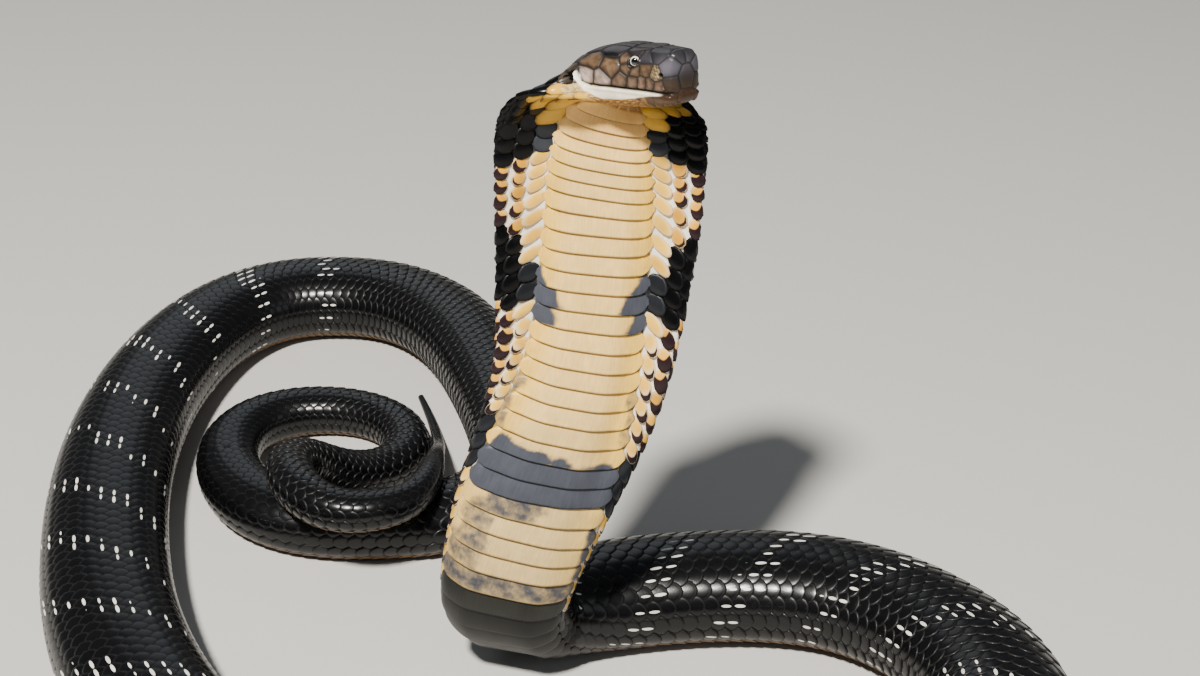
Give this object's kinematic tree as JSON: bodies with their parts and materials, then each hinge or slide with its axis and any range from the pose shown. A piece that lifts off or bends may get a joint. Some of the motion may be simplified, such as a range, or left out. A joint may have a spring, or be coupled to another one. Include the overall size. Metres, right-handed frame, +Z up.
{
  "type": "king cobra model",
  "caption": "King cobra reared with its hood spread and head turned aside, long body and tail coiled on the floor; life-size still model for display",
  "frame": {"origin": "the middle of the model's footprint, on the floor it lies on", "axes": "+Z is up from the floor; the belly side of the reared hood faces -Y; +X is to the right seen from there"},
  "size_m": [0.6178, 0.7188, 0.3916],
  "materials": {
    "skin_head": "glossy smooth shields",
    "skin_front": "satin, broad belly scutes",
    "skin_back": "glossy smooth scales",
    "eye": "glossy"
  },
  "bodies": {
    "root": {"head": "skin_head", "eye_left": "eye", "eye_right": "eye", "hood_upper": "skin_front", "hood_lower": "skin_front", "neck_base": "skin_front", "body_1": "skin_back", "body_2": "skin_back", "body_3": "skin_back", "body_4": "skin_back", "body_5": "skin_back", "body_6": "skin_back", "body_7": "skin_back", "body_8": "skin_back", "body_9": "skin_back", "body_10": "skin_back", "body_11": "skin_back", "body_12": "skin_back", "tail_1": "skin_back", "tail_2": "skin_back", "tail_3": "skin_back", "tail_4": "skin_back", "tail_5": "skin_back", "tail_6": "skin_back", "tail_7": "skin_back", "tail_8": "skin_back", "tail_9": "skin_back"}
  },
  "joints": []
}
